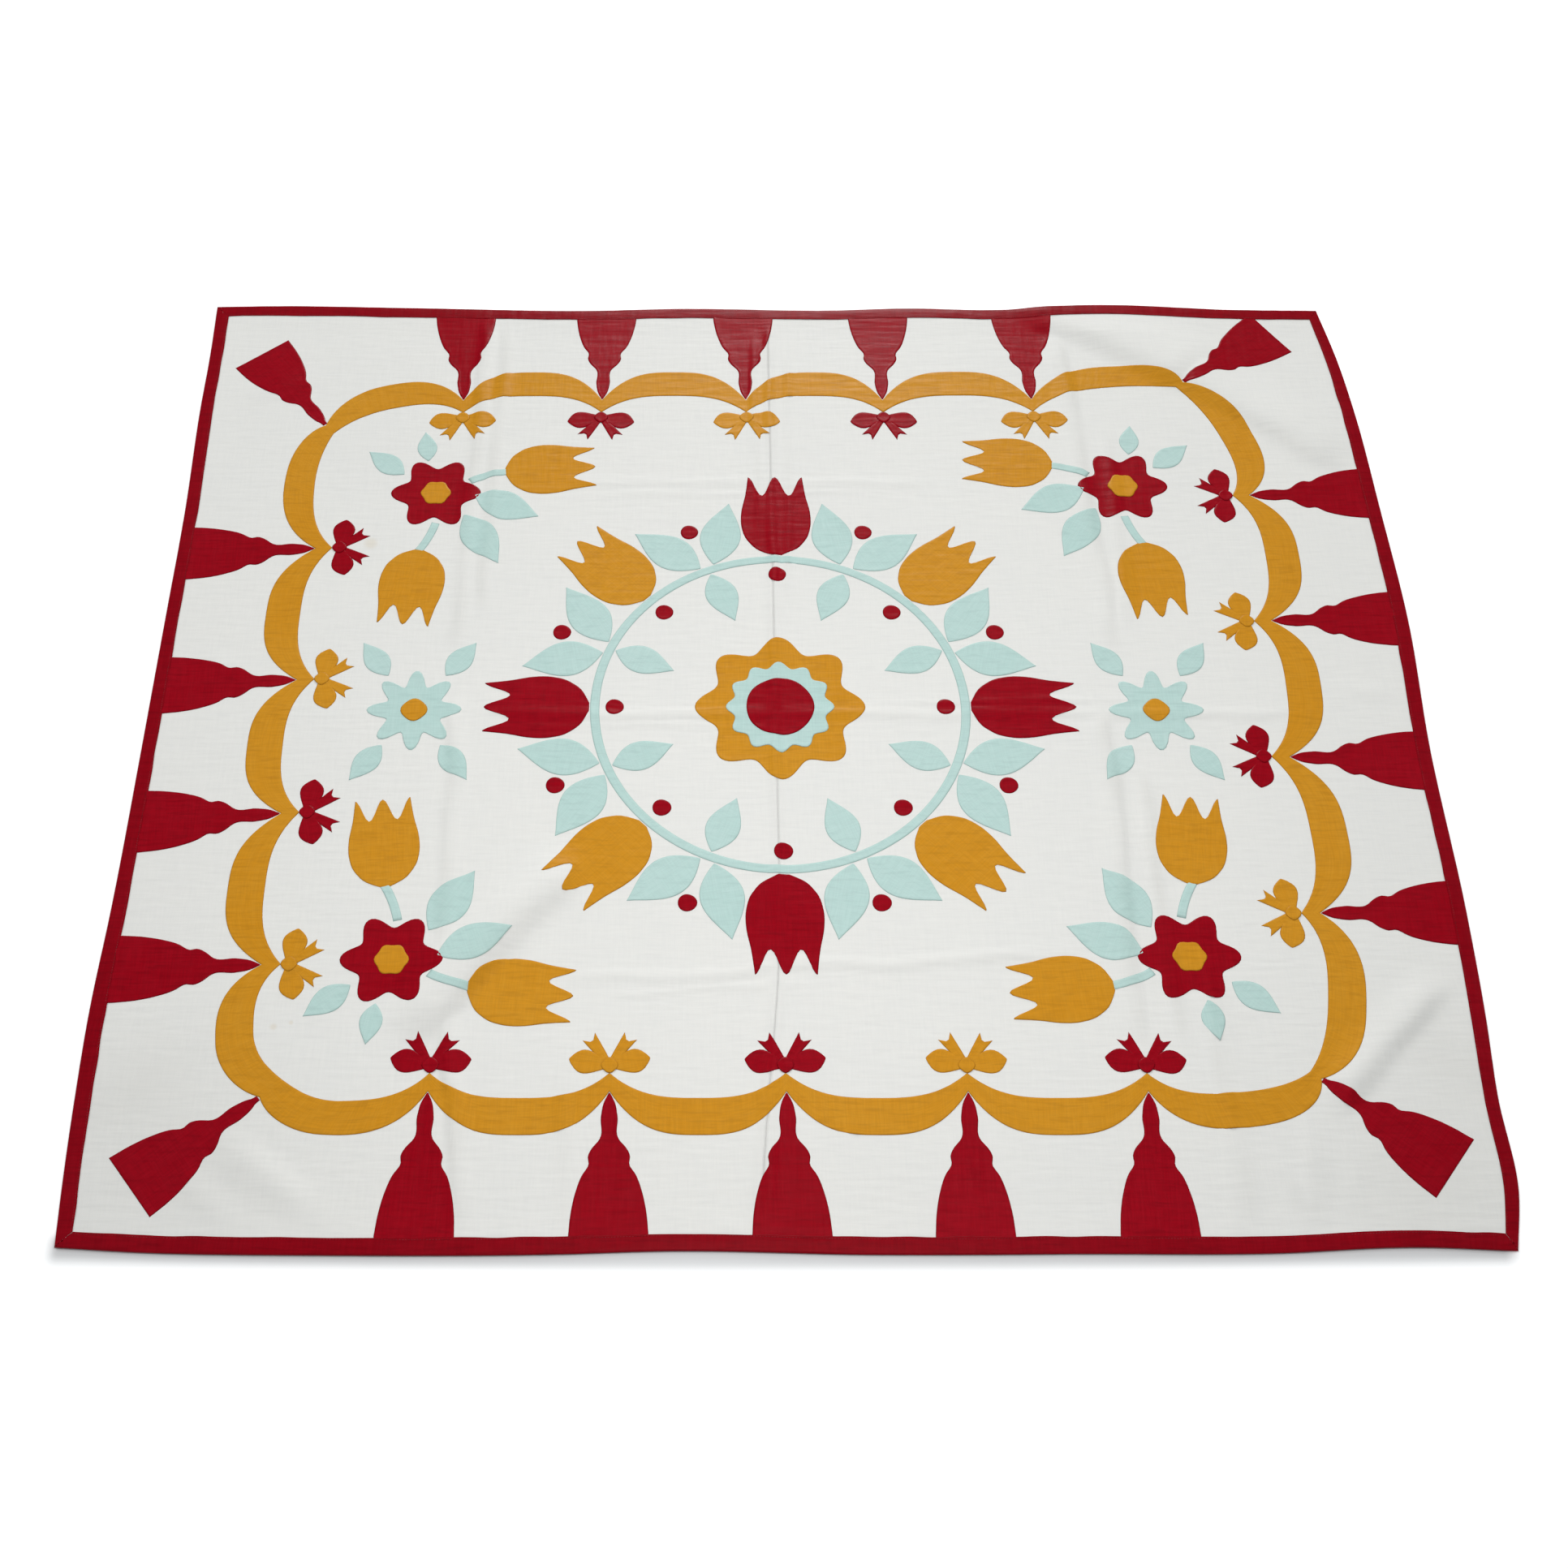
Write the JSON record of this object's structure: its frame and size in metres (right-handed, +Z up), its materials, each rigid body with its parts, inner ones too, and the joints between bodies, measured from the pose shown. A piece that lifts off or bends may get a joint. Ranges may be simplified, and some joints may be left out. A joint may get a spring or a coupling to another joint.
{
  "type": "applique quilt",
  "caption": "Rectangular bed quilt laid flat, white ground with a bound edge, a scalloped swag and tassel border and a floral wreath in its field.",
  "frame": {"origin": "on the surface the quilt lies on, under the middle of its outline", "axes": "+X along the longer side, +Y away from the front edge, +Z up out of the quilt's face"},
  "size_m": [2.0858, 1.8, 0.0106],
  "materials": {
    "ground_cloth": "off-white quilted cotton, matte",
    "red_cloth": "turkey red cotton, matte, lightly faded",
    "amber_cloth": "amber cotton, matte",
    "aqua_cloth": "pale aqua cotton, matte"
  },
  "bodies": {
    "root": {"quilt_body": "ground_cloth", "binding_back": "red_cloth", "binding_front": "red_cloth", "binding_left": "red_cloth", "binding_right": "red_cloth", "flower_01": "red_cloth", "flower_02": "red_cloth", "flower_03": "red_cloth", "flower_04": "red_cloth", "rosette_centre": "red_cloth", "rosette_petals": "amber_cloth", "rosette_ring": "aqua_cloth", "swag_01": "amber_cloth", "swag_02": "amber_cloth", "swag_03": "amber_cloth", "swag_04": "amber_cloth", "swag_05": "amber_cloth", "swag_06": "amber_cloth", "swag_07": "amber_cloth", "swag_08": "amber_cloth", "swag_09": "amber_cloth", "swag_10": "amber_cloth", "swag_11": "amber_cloth", "swag_12": "amber_cloth", "swag_13": "amber_cloth", "swag_14": "amber_cloth", "swag_15": "amber_cloth", "swag_16": "amber_cloth", "swag_17": "amber_cloth", "swag_18": "amber_cloth", "swag_19": "amber_cloth", "swag_20": "amber_cloth", "swag_21": "amber_cloth", "swag_22": "amber_cloth", "tassel_01": "red_cloth", "tassel_02": "red_cloth", "tassel_03": "red_cloth", "tassel_04": "red_cloth", "tassel_05": "red_cloth", "tassel_06": "red_cloth", "tassel_07": "red_cloth", "tassel_08": "red_cloth", "tassel_09": "red_cloth", "tassel_10": "red_cloth", "tassel_11": "red_cloth", "tassel_12": "red_cloth", "tassel_13": "red_cloth", "tassel_14": "red_cloth", "tassel_15": "red_cloth", "tassel_16": "red_cloth", "tassel_17": "red_cloth", "tassel_18": "red_cloth", "tassel_19": "red_cloth", "tassel_20": "red_cloth", "tassel_21": "red_cloth", "tassel_22": "red_cloth", "wreath_ring": "aqua_cloth"}
  },
  "joints": []
}
